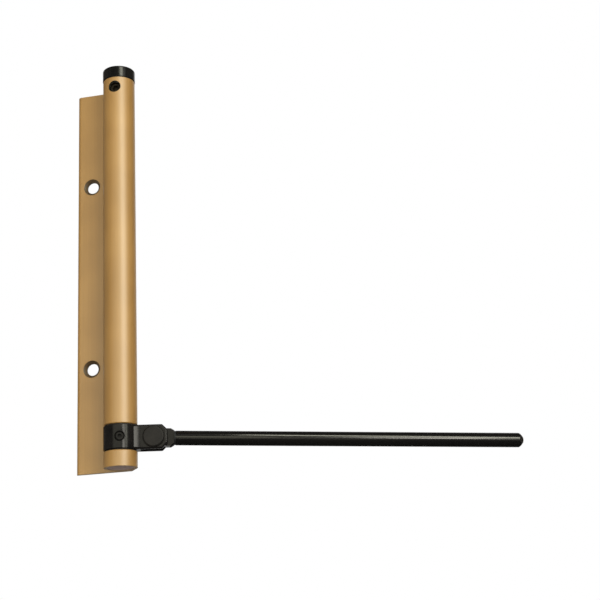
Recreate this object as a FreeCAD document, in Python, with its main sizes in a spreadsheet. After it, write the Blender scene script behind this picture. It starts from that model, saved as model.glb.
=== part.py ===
import FreeCAD, Part
import math
import os
import Sketcher
from FreeCAD import Placement, Rotation, Vector

doc = FreeCAD.newDocument("TubeDoorCloser")
os.makedirs("parts", exist_ok=True)

# Driving sizes in mm and degrees, kept in a sheet that every feature reads
sheet = doc.addObject("Spreadsheet::Sheet", "dims")
rows_used = 0


def size(alias, number):
    global rows_used
    rows_used += 1
    sheet.set("A" + str(rows_used), alias)
    sheet.set("B" + str(rows_used), str(number))
    sheet.setAlias("B" + str(rows_used), alias)
    return number


# Extruded body: a tube with a screw flange on its left, seen from the end
body_length = size("body_length", 199.0)
tube_outer_r = size("tube_outer_r", 8.0)
tube_bore_r = size("tube_bore_r", 6.5)
axis_offset = size("axis_offset", 18.2)
axis_back = size("axis_back", 11.5)
plate_thick = size("plate_thick", 2.4)
flange_edge = size("flange_edge", 8)
flange_round = size("flange_round", 2)
heel_reach = size("heel_reach", 1.5)
flank_turn = size("flank_turn", 39.0)
crease_r = size("crease_r", 1.6)
hole_pitch = size("hole_pitch", 96.0)
screw_hole_dia = size("screw_hole_dia", 6.0)
sink_dia = size("sink_dia", 8.8)
sink_angle = size("sink_angle", 90.0)

# Window milled across the tube for the hub, and the lock hole near the top
window_low = size("window_low", 7.6)
window_high = size("window_high", 20.1)
rim_bevel = size("rim_bevel", 0.35)
rim_start = size("rim_start", 140.0)
rim_sweep = size("rim_sweep", 260.0)
lock_depth = size("lock_depth", 5.2)
lock_turn = size("lock_turn", 3.0)
lock_hole_gap = size("lock_hole_gap", 0.2)

# Fits between the turned pieces
run_gap = size("run_gap", 0.06)
press_gap = size("press_gap", 0.03)
play = size("play", 0.06)
tang_gap = size("tang_gap", 0.25)

# Bushes, plug and clip at the foot of the tube
plug_inset = size("plug_inset", 0.1)
plug_thick = size("plug_thick", 1.7)
plug_dish_r = size("plug_dish_r", 4.4)
plug_dish = size("plug_dish", 0.2)
bush_length = size("bush_length", 6.4)
low_bush_length = size("low_bush_length", 4.2)
bush_flange_r = size("bush_flange_r", 7.4)
bush_flange = size("bush_flange", 0.4)
clip_thick = size("clip_thick", 0.4)
clip_outer_r = size("clip_outer_r", 5.6)
clip_groove = size("clip_groove", 0.6)
clip_mouth = size("clip_mouth", 4.4)

# Spindle with a slotted head and a long guide inside the spring
shaft_r = size("shaft_r", 4.0)
foot_space = size("foot_space", 0.2)
head_r = size("head_r", 6.2)
head_length = size("head_length", 10.0)
guide_r = size("guide_r", 3.2)
guide_entry = size("guide_entry", 8.0)
edge_bevel = size("edge_bevel", 0.4)

# Torsion spring of square wire
wire_wide = size("wire_wide", 2.0)
wire_tall = size("wire_tall", 2.4)
coil_mean_r = size("coil_mean_r", 4.9)
coil_pitch = size("coil_pitch", 3.0)
coil_space = size("coil_space", 0.6)
tang_length = size("tang_length", 6.0)

# Tension adjuster, its lock screw, the washer and the cap
adjuster_length = size("adjuster_length", 32.8)
adjuster_top = size("adjuster_top", 0.4)
stub_flats = size("stub_flats", 8.0)
stub_rise = size("stub_rise", 3.9)
key_flats = size("key_flats", 6.0)
key_depth = size("key_depth", 4.0)
lock_screw_r = size("lock_screw_r", 2.9)
lock_screw_length = size("lock_screw_length", 4.6)
lock_clear = size("lock_clear", 0.3)
lock_key_flats = size("lock_key_flats", 3.0)
lock_key_depth = size("lock_key_depth", 2.0)
washer_inner_r = size("washer_inner_r", 6.7)
washer_outer_r = size("washer_outer_r", 7.8)
washer_thick = size("washer_thick", 0.4)
cap_r = size("cap_r", 8.2)
cap_height = size("cap_height", 5.9)
cap_round = size("cap_round", 0.8)
cap_hole_r = size("cap_hole_r", 3.6)

# Hub: a ring round the spindle with two clevis ears
arm_turn = size("arm_turn", 17.0)
ring_r = size("ring_r", 8.2)
pivot_reach = size("pivot_reach", 15.6)
ear_half_width = size("ear_half_width", 4.5)
slot_half_width = size("slot_half_width", 3.0)
slot_start = size("slot_start", 9.4)
ear_end = size("ear_end", 22.2)
ear_corner = size("ear_corner", 2.55)
ear_round = size("ear_round", 0.9)
flare_out = size("flare_out", 0.68)
flare_run = size("flare_run", 4.3)
flare_end = size("flare_end", 10.4)
ring_bevel = size("ring_bevel", 0.3)
grub_r = size("grub_r", 2.4)
grub_bevel = size("grub_bevel", 0.75)
grub_sunk = size("grub_sunk", 0.35)
grub_bite = size("grub_bite", 0.6)
grub_key_flats = size("grub_key_flats", 2.0)
grub_key_depth = size("grub_key_depth", 1.6)

# Pivot pin with a low round head, washers and a retaining clip
pin_r = size("pin_r", 2.0)
pin_head_r = size("pin_head_r", 5.1)
pin_head_thick = size("pin_head_thick", 1.3)
pin_rim = size("pin_rim", 0.6)
pin_tail = size("pin_tail", 1.7)
pin_groove = size("pin_groove", 0.4)
pivot_washer_r = size("pivot_washer_r", 4.4)
pivot_washer_thick = size("pivot_washer_thick", 0.4)
pin_clip_r = size("pin_clip_r", 3.8)
pin_clip_mouth = size("pin_clip_mouth", 2.2)

# Arm: a knuckle in the clevis and a plain round rod
droop = size("droop", 2.2)
eye_r = size("eye_r", 4.7)
collar_start = size("collar_start", 7.6)
collar_land = size("collar_land", 0.6)
collar_r = size("collar_r", 4.5)
collar_end = size("collar_end", 9.7)
collar_end_r = size("collar_end_r", 3.65)
rod_r = size("rod_r", 3.5)
rod_shoulder = size("rod_shoulder", 10.4)
rod_neck_r = size("rod_neck_r", 3.2)
rod_tip = size("rod_tip", 177.9)
rod_tip_bevel = size("rod_tip_bevel", 2.2)
spigot_r = size("spigot_r", 1.7)
spigot_start = size("spigot_start", 5.2)
cross_pin_r = size("cross_pin_r", 0.75)
cross_pin_reach = size("cross_pin_reach", 8.3)
cross_pin_half = size("cross_pin_half", 3.9)
doc.recompute()

# Heights above the foot of the body that several pieces share
bush_low_foot = "(dims.window_low - dims.low_bush_length)"
ring_low = "(dims.window_low + dims.bush_flange + dims.play)"
ring_high = "(dims.window_high - dims.bush_flange - dims.play)"
hub_middle = "((dims.window_low + dims.window_high) / 2)"
head_low = "(dims.window_high + dims.bush_length + dims.play)"
head_high = "(" + head_low + " + dims.head_length)"
coil_low = "(" + head_high + " + dims.coil_space + dims.wire_tall / 2)"
adjuster_low = "(dims.body_length - dims.adjuster_length)"
coil_high = "(" + adjuster_low + " - dims.coil_space - dims.wire_tall / 2)"
coil_span = "(" + coil_high + " - " + coil_low + ")"
coil_turns = "floor(" + coil_span + " / dims.coil_pitch)"
adjuster_high = "(dims.body_length + dims.adjuster_top)"
stub_high = "(" + adjuster_high + " + dims.stub_rise)"
lock_height = "(dims.body_length - dims.lock_depth)"
cap_low = "(dims.body_length + dims.washer_thick + dims.play)"
cap_high = "(" + cap_low + " + dims.cap_height)"


# Helpers shared by all pieces
def new_body(label):
    body = doc.addObject("PartDesign::Body", label)
    body.Label = label
    return body


def origin_plane(body, role):
    for item in body.Origin.OriginFeatures:
        if item.Role == role:
            return item
    return None


def new_sketch(body, name, role):
    sketch = body.newObject("Sketcher::SketchObject", name)
    sketch.AttachmentSupport = [(origin_plane(body, role), "")]
    sketch.MapMode = "FlatFace"
    return sketch


def bind(item, **sizes):
    for prop, rule in sizes.items():
        item.setExpression(prop, rule)


def fix_corner(sketch, line, across, up):
    start = sketch.Geometry[line].StartPoint
    first = sketch.addConstraint(Sketcher.Constraint("DistanceX", line, 1, start.x))
    second = sketch.addConstraint(Sketcher.Constraint("DistanceY", line, 1, start.y))
    sketch.setExpression("Constraints[" + str(first) + "]", across)
    sketch.setExpression("Constraints[" + str(second) + "]", up)


def outline(sketch, corners):
    count = len(corners)
    first = sketch.GeometryCount
    ring = [Rotation(Vector(0, 0, 1), 360.0 * k / count).multVec(Vector(9, 0, 0)) for k in range(count)]
    for k in range(count):
        sketch.addGeometry(Part.LineSegment(ring[k], ring[(k + 1) % count]))
    for k in range(count):
        following = first + (k + 1) % count
        sketch.addConstraint(Sketcher.Constraint("Coincident", first + k, 2, following, 1))
    for k in range(count):
        fix_corner(sketch, first + k, corners[k][0], corners[k][1])


def circle(sketch, across, up, radius):
    index = sketch.addGeometry(Part.Circle(Vector(1, 1, 0), Vector(0, 0, 1), 1))
    rules = [("DistanceX", across), ("DistanceY", up)]
    for kind, rule in rules:
        place = sketch.addConstraint(Sketcher.Constraint(kind, index, 3, 1.0))
        sketch.setExpression("Constraints[" + str(place) + "]", rule)
    place = sketch.addConstraint(Sketcher.Constraint("Radius", index, 1.0))
    sketch.setExpression("Constraints[" + str(place) + "]", radius)


def box_corners(left, right, low, high):
    return [(left, low), (right, low), (right, high), (left, high)]


def hex_corners(flats):
    reach = flats + " / sqrt(3)"
    half = flats + " / sqrt(12)"
    side = flats + " / 2"
    return [
        (reach, "0"),
        (half, side),
        ("-" + half, side),
        ("-" + reach, "0"),
        ("-" + half, "-" + side),
        (half, "-" + side),
    ]


def turned(body, corners, name="Turned"):
    sketch = new_sketch(body, name + "Profile", "XZ_Plane")
    outline(sketch, corners)
    solid = body.newObject("PartDesign::Revolution", name)
    solid.Profile = sketch
    solid.ReferenceAxis = (sketch, ["V_Axis"])
    solid.Angle = 360
    doc.recompute()
    return solid


def padded(body, sketch, length, name, both_ways=False, reverse=False):
    solid = body.newObject("PartDesign::Pad", name)
    solid.Profile = sketch
    solid.setExpression("Length", length)
    solid.Midplane = both_ways
    solid.Reversed = reverse
    doc.recompute()
    return solid


def pocketed(body, sketch, length, name, both_ways=False, reverse=False):
    before = body.Shape.Volume
    cut = body.newObject("PartDesign::Pocket", name)
    cut.Profile = sketch
    cut.setExpression("Length", length)
    cut.Midplane = both_ways
    cut.Reversed = reverse
    doc.recompute()
    if not cut.Shape.Volume < before - 1e-6:
        raise RuntimeError(body.Label + ": " + name + " takes nothing away")
    return cut


def lift(sketch, height):
    sketch.setExpression("AttachmentOffset.Base.z", height)


def on_axis(body):
    body.setExpression("Placement.Base.x", "dims.axis_offset")
    body.setExpression("Placement.Base.y", "-dims.axis_back")
    body.setExpression("Placement.Base.z", "-dims.body_length / 2")


def on_hub(body):
    on_axis(body)
    body.Placement.Rotation = Rotation(Vector(0, 0, 1), arm_turn)
    body.setExpression("Placement.Rotation.Angle", "dims.arm_turn")


def on_pivot(body, turn):
    body.Placement.Rotation = turn
    reach_x = "dims.pivot_reach * cos(dims.arm_turn * 1 deg)"
    reach_y = "dims.pivot_reach * sin(dims.arm_turn * 1 deg)"
    body.setExpression("Placement.Base.x", "dims.axis_offset + " + reach_x)
    body.setExpression("Placement.Base.y", reach_y + " - dims.axis_back")
    body.setExpression("Placement.Base.z", hub_middle + " - dims.body_length / 2")


def edges_at(solid, test):
    found = []
    for k, edge in enumerate(solid.Shape.Edges):
        if test(edge):
            found.append("Edge" + str(k + 1))
    return found


def bevelled(body, solid, names, width):
    cut = body.newObject("PartDesign::Chamfer", "Bevel")
    cut.Base = (solid, names)
    cut.setExpression("Size", width)
    doc.recompute()
    return cut


def rounded(body, solid, names, radius):
    blend = body.newObject("PartDesign::Fillet", "Round")
    blend.Base = (solid, names)
    blend.setExpression("Radius", radius)
    doc.recompute()
    return blend


# Body: one extruded length of tube and flange
body_extrusion = new_body("body_extrusion")
on_axis(body_extrusion)
front_y = axis_back - plate_thick
crease_y = front_y - crease_r
crease_x = -math.sqrt((tube_outer_r + crease_r) ** 2 - crease_y ** 2)
crease_share = tube_outer_r / (tube_outer_r + crease_r)
touch = Vector(crease_x * crease_share, crease_y * crease_share, 0)
left_x = -axis_offset - flange_edge
flank_end = Vector(tube_outer_r * math.cos(math.radians(flank_turn)), 0, 0)
flank_end.y = tube_outer_r * math.sin(math.radians(flank_turn))
profile = new_sketch(body_extrusion, "Profile", "XY_Plane")
corner_points = [
    Vector(crease_x, front_y, 0),
    Vector(left_x + flange_round, front_y, 0),
    Vector(left_x, front_y + flange_round, 0),
    Vector(left_x, axis_back, 0),
    Vector(heel_reach, axis_back, 0),
    flank_end,
]
edge_centre = Vector(left_x + flange_round, front_y + flange_round, 0)
edge_circle = Part.Circle(edge_centre, Vector(0, 0, 1), flange_round)
profile.addGeometry(Part.LineSegment(corner_points[0], corner_points[1]))
profile.addGeometry(Part.ArcOfCircle(edge_circle, math.pi, 1.5 * math.pi))
for k in range(2, 5):
    profile.addGeometry(Part.LineSegment(corner_points[k], corner_points[k + 1]))
tube_circle = Part.Circle(Vector(0, 0, 0), Vector(0, 0, 1), tube_outer_r)
touch_angle = math.atan2(touch.y, touch.x)
tube_arc = Part.ArcOfCircle(tube_circle, touch_angle, math.radians(360 + flank_turn))
profile.addGeometry(tube_arc)
crease_circle = Part.Circle(Vector(crease_x, crease_y, 0), Vector(0, 0, 1), crease_r)
crease_start = math.atan2(touch.y - crease_y, touch.x - crease_x)
profile.addGeometry(Part.ArcOfCircle(crease_circle, crease_start, math.pi / 2))
profile.addConstraint(Sketcher.Constraint("Tangent", 0, 2, 1, 2))
profile.addConstraint(Sketcher.Constraint("Tangent", 1, 1, 2, 1))
for k in range(2, 4):
    profile.addConstraint(Sketcher.Constraint("Coincident", k, 2, k + 1, 1))
profile.addConstraint(Sketcher.Constraint("Coincident", 4, 2, 5, 2))
profile.addConstraint(Sketcher.Constraint("Coincident", 5, 3, -1, 1))
profile.addConstraint(Sketcher.Constraint("Tangent", 5, 1, 6, 1))
profile.addConstraint(Sketcher.Constraint("Tangent", 6, 2, 0, 1))
profile.addConstraint(Sketcher.Constraint("Horizontal", 0))
plate_left = "-dims.axis_offset - dims.flange_edge"
plate_front = "dims.axis_back - dims.plate_thick"
fix_corner(profile, 2, plate_left, plate_front + " + dims.flange_round")
fix_corner(profile, 3, plate_left, "dims.axis_back")
fix_corner(profile, 4, "dims.heel_reach", "dims.axis_back")
for arc_index, arc_rule in [
    (1, "dims.flange_round"),
    (5, "dims.tube_outer_r"),
    (6, "dims.crease_r"),
]:
    arc_radius = profile.Geometry[arc_index].Radius
    arc_size = profile.addConstraint(Sketcher.Constraint("Radius", arc_index, arc_radius))
    profile.setExpression("Constraints[" + str(arc_size) + "]", arc_rule)
flank_rise = profile.addConstraint(Sketcher.Constraint("DistanceY", 5, 2, flank_end.y))
flank_rule = "dims.tube_outer_r * sin(dims.flank_turn * 1 deg)"
profile.setExpression("Constraints[" + str(flank_rise) + "]", flank_rule)
circle(profile, "0", "0", "dims.tube_bore_r")
padded(body_extrusion, profile, "dims.body_length", "Extrusion")

# Window for the hub, cut back to the front of the mounting plate
window_cut = new_sketch(body_extrusion, "WindowOutline", "YZ_Plane")
window_corners = box_corners(
    "-dims.ring_r - 2", "dims.axis_back - dims.plate_thick", "dims.window_low", "dims.window_high"
)
outline(window_cut, window_corners)
window = pocketed(body_extrusion, window_cut, "4 * dims.ring_r", "Window", both_ways=True)


def rim_groove(name, corners):
    sketch = new_sketch(body_extrusion, name + "Profile", "XZ_Plane")
    sketch.AttachmentOffset = Placement(Vector(), Rotation(Vector(0, 1, 0), rim_start))
    sketch.setExpression("AttachmentOffset.Rotation.Angle", "dims.rim_start")
    outline(sketch, corners)
    before = body_extrusion.Shape.Volume
    groove = body_extrusion.newObject("PartDesign::Groove", name)
    groove.Profile = sketch
    groove.ReferenceAxis = (sketch, ["V_Axis"])
    groove.setExpression("Angle", "dims.rim_sweep")
    doc.recompute()
    if not groove.Shape.Volume < before - 1e-6:
        raise RuntimeError(name + " takes nothing away")


# Bevels round the open part of the window's two rims
rim_in = "dims.tube_outer_r - dims.rim_bevel"
rim_out = "dims.tube_outer_r + dims.rim_bevel"
rim_groove("LowRim", [
    (rim_in, "dims.window_low"),
    (rim_in, "dims.window_low + dims.rim_bevel"),
    (rim_out, "dims.window_low + dims.rim_bevel"),
    (rim_out, "dims.window_low - 2 * dims.rim_bevel"),
])
rim_groove("HighRim", [
    (rim_in, "dims.window_high"),
    (rim_in, "dims.window_high - dims.rim_bevel"),
    (rim_out, "dims.window_high - dims.rim_bevel"),
    (rim_out, "dims.window_high + 2 * dims.rim_bevel"),
])

# Radial hole through which the lock screw is reached
lock_sketch = new_sketch(body_extrusion, "LockHoleOutline", "XZ_Plane")
lock_sketch.AttachmentOffset = Placement(Vector(), Rotation(Vector(0, 1, 0), lock_turn))
lock_sketch.setExpression("AttachmentOffset.Rotation.Angle", "dims.lock_turn")
circle(lock_sketch, "0", lock_height, "dims.lock_screw_r + dims.lock_hole_gap")
pocketed(body_extrusion, lock_sketch, "2 * dims.tube_outer_r", "LockHole", reverse=True)

# Two countersunk screw holes in the flange
hole_sketch = new_sketch(body_extrusion, "ScrewHoleCentres", "XZ_Plane")
lift(hole_sketch, "dims.plate_thick - dims.axis_back")
for side in ["-", "+"]:
    hole_rule = "dims.body_length / 2 " + side + " dims.hole_pitch / 2"
    circle(hole_sketch, "-dims.axis_offset", hole_rule, "dims.screw_hole_dia / 2")
doc.recompute()
screw_holes = body_extrusion.newObject("PartDesign::Hole", "ScrewHoles")
screw_holes.Profile = hole_sketch
screw_holes.DepthType = "Dimension"
screw_holes.Threaded = False
screw_holes.HoleCutType = "Countersink"
bind(screw_holes, Depth="2 * dims.plate_thick", Diameter="dims.screw_hole_dia")
bind(screw_holes, HoleCutDiameter="dims.sink_dia", HoleCutCountersinkAngle="dims.sink_angle")
doc.recompute()

# Plug that closes the foot of the tube
bottom_plug = new_body("bottom_plug")
on_axis(bottom_plug)
turned(bottom_plug, [
    ("0", "dims.plug_inset + dims.plug_dish"),
    ("dims.plug_dish_r", "dims.plug_inset + dims.plug_dish"),
    ("dims.plug_dish_r + dims.plug_dish", "dims.plug_inset"),
    ("dims.tube_bore_r - dims.press_gap", "dims.plug_inset"),
    ("dims.tube_bore_r - dims.press_gap", "dims.plug_inset + dims.plug_thick"),
    ("0", "dims.plug_inset + dims.plug_thick"),
])

# Flanged bushes above and below the window
lower_bush = new_body("lower_bush")
on_axis(lower_bush)
turned(lower_bush, [
    ("dims.shaft_r + dims.run_gap", bush_low_foot),
    ("dims.tube_bore_r - dims.press_gap", bush_low_foot),
    ("dims.tube_bore_r - dims.press_gap", "dims.window_low"),
    ("dims.bush_flange_r", "dims.window_low"),
    ("dims.bush_flange_r", "dims.window_low + dims.bush_flange"),
    ("dims.shaft_r + dims.run_gap", "dims.window_low + dims.bush_flange"),
])
upper_bush = new_body("upper_bush")
on_axis(upper_bush)
turned(upper_bush, [
    ("dims.shaft_r + dims.run_gap", "dims.window_high - dims.bush_flange"),
    ("dims.bush_flange_r", "dims.window_high - dims.bush_flange"),
    ("dims.bush_flange_r", "dims.window_high"),
    ("dims.tube_bore_r - dims.press_gap", "dims.window_high"),
    ("dims.tube_bore_r - dims.press_gap", "dims.window_high + dims.bush_length"),
    ("dims.shaft_r + dims.run_gap", "dims.window_high + dims.bush_length"),
])

# Spindle: shaft, slotted head and spring guide in one turned piece
spindle = new_body("spindle")
on_hub(spindle)
spindle_foot = "dims.plug_inset + dims.plug_thick + dims.foot_space"
clip_high = "(" + bush_low_foot + " - dims.play)"
clip_low = "(" + clip_high + " - dims.clip_thick)"
groove_r = "dims.shaft_r - dims.clip_groove"
guide_high = adjuster_low + " + dims.guide_entry"
turned(spindle, [
    ("0", spindle_foot),
    (groove_r, spindle_foot),
    ("dims.shaft_r", spindle_foot + " + dims.edge_bevel"),
    ("dims.shaft_r", clip_low + " - dims.play / 2"),
    (groove_r, clip_low + " - dims.play / 2"),
    (groove_r, clip_high + " + dims.play / 2"),
    ("dims.shaft_r", clip_high + " + dims.play / 2"),
    ("dims.shaft_r", head_low),
    ("dims.head_r", head_low),
    ("dims.head_r", head_high),
    ("dims.guide_r", head_high),
    ("dims.guide_r", guide_high + " - dims.edge_bevel"),
    ("dims.guide_r - dims.edge_bevel", guide_high),
    ("0", guide_high),
])
tang_low = "dims.coil_mean_r - dims.wire_wide / 2 - dims.tang_gap"
tang_half = "(dims.wire_tall / 2 + dims.tang_gap)"
head_slot = new_sketch(spindle, "HeadSlotOutline", "XY_Plane")
outline(head_slot, box_corners(tang_low, "dims.head_r + 1", "-" + tang_half, tang_half))
lift(head_slot, head_high)
pocketed(spindle, head_slot, "dims.tang_length + dims.tang_gap", "HeadSlot")
dimple = new_sketch(spindle, "DimpleOutline", "XZ_Plane")
circle(dimple, "0", hub_middle, "dims.grub_r + dims.run_gap")
lift(dimple, "dims.shaft_r - dims.grub_bite")
pocketed(spindle, dimple, "2 * dims.shaft_r", "Dimple", reverse=True)

# Clip that keeps the spindle from rising through the lower bush
spindle_clip = new_body("spindle_clip")
on_hub(spindle_clip)
turned(spindle_clip, [
    (groove_r + " + dims.run_gap", clip_low),
    ("dims.clip_outer_r", clip_low),
    ("dims.clip_outer_r", clip_high),
    (groove_r + " + dims.run_gap", clip_high),
])
clip_slot = new_sketch(spindle_clip, "ClipMouthOutline", "XY_Plane")
clip_mouth_corners = box_corners("0", "2 * dims.clip_outer_r", "-dims.clip_mouth / 2", "dims.clip_mouth / 2")
outline(clip_slot, clip_mouth_corners)
pocketed(spindle_clip, clip_slot, "2 * dims.window_low", "ClipMouth", both_ways=True)

# Torsion spring: square wire coils with an axial tang at each end
torsion_spring = new_body("torsion_spring")
on_hub(torsion_spring)
wire_section = new_sketch(torsion_spring, "WireSection", "XZ_Plane")
wire_in = "dims.coil_mean_r - dims.wire_wide / 2"
wire_out = "dims.coil_mean_r + dims.wire_wide / 2"
outline(wire_section, box_corners(
    wire_in, wire_out, coil_low + " - dims.wire_tall / 2", coil_low + " + dims.wire_tall / 2"
))
coils = torsion_spring.newObject("PartDesign::AdditiveHelix", "Coils")
coils.Profile = wire_section
coils.ReferenceAxis = (wire_section, ["V_Axis"])
coils.Mode = "pitch-turns-angle"
bind(coils, Pitch=coil_span + " / " + coil_turns, Turns=coil_turns)
doc.recompute()
tang_section = box_corners(wire_in, wire_out, "-dims.wire_tall / 2", "dims.wire_tall / 2")
low_tang = new_sketch(torsion_spring, "LowTangSection", "XY_Plane")
outline(low_tang, tang_section)
lift(low_tang, coil_low + " + dims.wire_tall / 2")
low_tang_length = "dims.wire_tall + dims.coil_space + dims.tang_length"
padded(torsion_spring, low_tang, low_tang_length, "LowTang", reverse=True)
high_tang = new_sketch(torsion_spring, "HighTangSection", "XY_Plane")
outline(high_tang, tang_section)
lift(high_tang, coil_high + " - dims.wire_tall / 2")
padded(torsion_spring, high_tang, low_tang_length, "HighTang")

# Tension adjuster: plug that winds the upper end of the spring
tension_adjuster = new_body("tension_adjuster")
on_hub(tension_adjuster)
plug_r = "dims.tube_bore_r - dims.run_gap"
turned(tension_adjuster, [
    ("dims.guide_r + dims.run_gap", adjuster_low),
    (plug_r + " - dims.edge_bevel", adjuster_low),
    (plug_r, adjuster_low + " + dims.edge_bevel"),
    (plug_r, adjuster_high + " - dims.edge_bevel"),
    (plug_r + " - dims.edge_bevel", adjuster_high),
    ("0", adjuster_high),
    ("0", guide_high + " + dims.coil_space"),
    ("dims.guide_r + dims.run_gap", guide_high + " + dims.coil_space"),
])
stub_section = new_sketch(tension_adjuster, "StubSection", "XY_Plane")
outline(stub_section, box_corners(
    "-dims.stub_flats / 2", "dims.stub_flats / 2", "-dims.stub_flats / 2", "dims.stub_flats / 2"
))
lift(stub_section, adjuster_high)
padded(tension_adjuster, stub_section, "dims.stub_rise", "Stub")
tang_slot = new_sketch(tension_adjuster, "TangSlotOutline", "XY_Plane")
outline(tang_slot, box_corners(tang_low, "dims.tube_bore_r + 1", "-" + tang_half, tang_half))
lift(tang_slot, adjuster_low)
pocketed(tension_adjuster, tang_slot, "dims.tang_length + dims.tang_gap", "TangSlot", reverse=True)
key_socket = new_sketch(tension_adjuster, "KeySocketOutline", "XY_Plane")
outline(key_socket, hex_corners("dims.key_flats"))
lift(key_socket, stub_high)
pocketed(tension_adjuster, key_socket, "dims.key_depth", "KeySocket")
lock_bore = new_sketch(tension_adjuster, "LockBoreOutline", "XZ_Plane")
lock_bore.AttachmentOffset = Placement(Vector(), Rotation(Vector(0, 1, 0), lock_turn - arm_turn))
lock_bore.setExpression("AttachmentOffset.Rotation.Angle", "dims.lock_turn - dims.arm_turn")
circle(lock_bore, "0", lock_height, "dims.lock_screw_r + dims.press_gap")
pocketed(tension_adjuster, lock_bore, "2 * dims.tube_bore_r", "LockBore", reverse=True)

# Lock screw in the adjuster: backed out, its end enters the hole in the tube
lock_screw = new_body("lock_screw")
on_axis(lock_screw)
lock_screw.setExpression("Placement.Base.z", "dims.body_length / 2 - dims.lock_depth")
lock_way = Rotation(Vector(0, 0, 1), lock_turn).multVec(Vector(0, -1, 0))
lock_screw.Placement.Rotation = Rotation(Vector(0, 0, 1), lock_way)
lock_end = "sqrt((dims.tube_bore_r - dims.lock_clear)^2 - dims.lock_screw_r^2)"
lock_root = lock_end + " - dims.lock_screw_length"
turned(lock_screw, [
    ("0", lock_root),
    ("dims.lock_screw_r - dims.edge_bevel", lock_root),
    ("dims.lock_screw_r", lock_root + " + dims.edge_bevel"),
    ("dims.lock_screw_r", lock_end + " - dims.edge_bevel"),
    ("dims.lock_screw_r - dims.edge_bevel", lock_end),
    ("0", lock_end),
])
lock_key = new_sketch(lock_screw, "LockKeyOutline", "XY_Plane")
outline(lock_key, hex_corners("dims.lock_key_flats"))
lift(lock_key, lock_end)
pocketed(lock_screw, lock_key, "dims.lock_key_depth", "LockKey")

# Washer between the tube's end and the cap
thrust_washer = new_body("thrust_washer")
on_axis(thrust_washer)
turned(thrust_washer, [
    ("dims.washer_inner_r", "dims.body_length"),
    ("dims.washer_outer_r", "dims.body_length"),
    ("dims.washer_outer_r", "dims.body_length + dims.washer_thick"),
    ("dims.washer_inner_r", "dims.body_length + dims.washer_thick"),
])

# Cap pressed on the adjuster's square stub
tension_cap = new_body("tension_cap")
on_hub(tension_cap)
cap_blank = turned(tension_cap, [
    ("dims.cap_hole_r", cap_low),
    ("dims.cap_r", cap_low),
    ("dims.cap_r", cap_high),
    ("dims.cap_hole_r", cap_high),
])


def is_cap_shoulder(edge):
    if not isinstance(edge.Curve, Part.Circle):
        return False
    middle = body_length + washer_thick + cap_height / 2
    return edge.Curve.Center.z > middle and abs(edge.Curve.Radius - cap_r) < 1e-4


cap_shoulder = tension_cap.newObject("PartDesign::Fillet", "CapShoulder")
cap_shoulder.Base = (cap_blank, edges_at(cap_blank, is_cap_shoulder))
cap_shoulder.setExpression("Radius", "dims.cap_round")
doc.recompute()
cap_socket = new_sketch(tension_cap, "CapSocketOutline", "XY_Plane")
socket_half = "dims.stub_flats / 2 + dims.press_gap"
socket_low = "-dims.stub_flats / 2 - dims.press_gap"
outline(cap_socket, box_corners(socket_low, socket_half, socket_low, socket_half))
lift(cap_socket, cap_low)
pocketed(tension_cap, cap_socket, stub_high + " + dims.play - " + cap_low, "CapSocket", reverse=True)

# Hub: ring and clevis cast as one piece
hub_bracket = new_body("hub_bracket")
on_hub(hub_bracket)
ear_outline = new_sketch(hub_bracket, "EarOutline", "XZ_Plane")
outline(ear_outline, [
    ("0", ring_low),
    ("dims.ear_end - dims.ear_corner", ring_low),
    ("dims.ear_end", ring_low + " + dims.ear_corner"),
    ("dims.ear_end", ring_high + " - dims.ear_corner"),
    ("dims.ear_end - dims.ear_corner", ring_high),
    ("0", ring_high),
])
ears = padded(hub_bracket, ear_outline, "2 * dims.ear_half_width", "Ears", both_ways=True)


def is_ear_edge(edge):
    level = [abs(abs(v.Y) - ear_half_width) < 1e-4 for v in edge.Vertexes]
    return all(level) and edge.CenterOfMass.x > 1e-3


rounded(hub_bracket, ears, edges_at(ears, is_ear_edge), "dims.ear_round")

# Flares where the ears grow out of the ring
flare_sketch = new_sketch(hub_bracket, "FlareOutline", "XY_Plane")
flare_start = "dims.flare_end - dims.flare_run"
flare_wide = "(dims.ear_half_width + dims.flare_out)"
flare_high = "(dims.ear_half_width + dims.flare_out * 4 / 9)"
flare_low = "(dims.ear_half_width + dims.flare_out / 9)"
outline(flare_sketch, [
    ("dims.shaft_r / 2", "-" + flare_wide),
    (flare_start, "-" + flare_wide),
    (flare_start + " + dims.flare_run / 3", "-" + flare_high),
    (flare_start + " + dims.flare_run * 2 / 3", "-" + flare_low),
    ("dims.flare_end", "-dims.ear_half_width"),
    ("dims.flare_end", "dims.ear_half_width"),
    (flare_start + " + dims.flare_run * 2 / 3", flare_low),
    (flare_start + " + dims.flare_run / 3", flare_high),
    (flare_start, flare_wide),
    ("dims.shaft_r / 2", flare_wide),
])
lift(flare_sketch, ring_low + " + dims.ear_round")
padded(hub_bracket, flare_sketch, ring_high + " - " + ring_low + " - 2 * dims.ear_round", "Flares")
turned(hub_bracket, [
    ("0", ring_low),
    ("dims.ring_r - dims.ring_bevel", ring_low),
    ("dims.ring_r", ring_low + " + dims.ring_bevel"),
    ("dims.ring_r", ring_high + " - dims.ring_bevel"),
    ("dims.ring_r - dims.ring_bevel", ring_high),
    ("0", ring_high),
], "Ring")
slot_outline = new_sketch(hub_bracket, "SlotOutline", "XY_Plane")
slot_corners = box_corners(
    "dims.slot_start", "dims.ear_end + 1", "-dims.slot_half_width", "dims.slot_half_width"
)
outline(slot_outline, slot_corners)
pocketed(hub_bracket, slot_outline, "4 * dims.window_high", "Slot", both_ways=True)
hub_bore = new_sketch(hub_bracket, "HubBoreOutline", "XY_Plane")
circle(hub_bore, "0", "0", "dims.shaft_r + dims.press_gap")
pocketed(hub_bracket, hub_bore, "4 * dims.window_high", "HubBore", both_ways=True)
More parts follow.
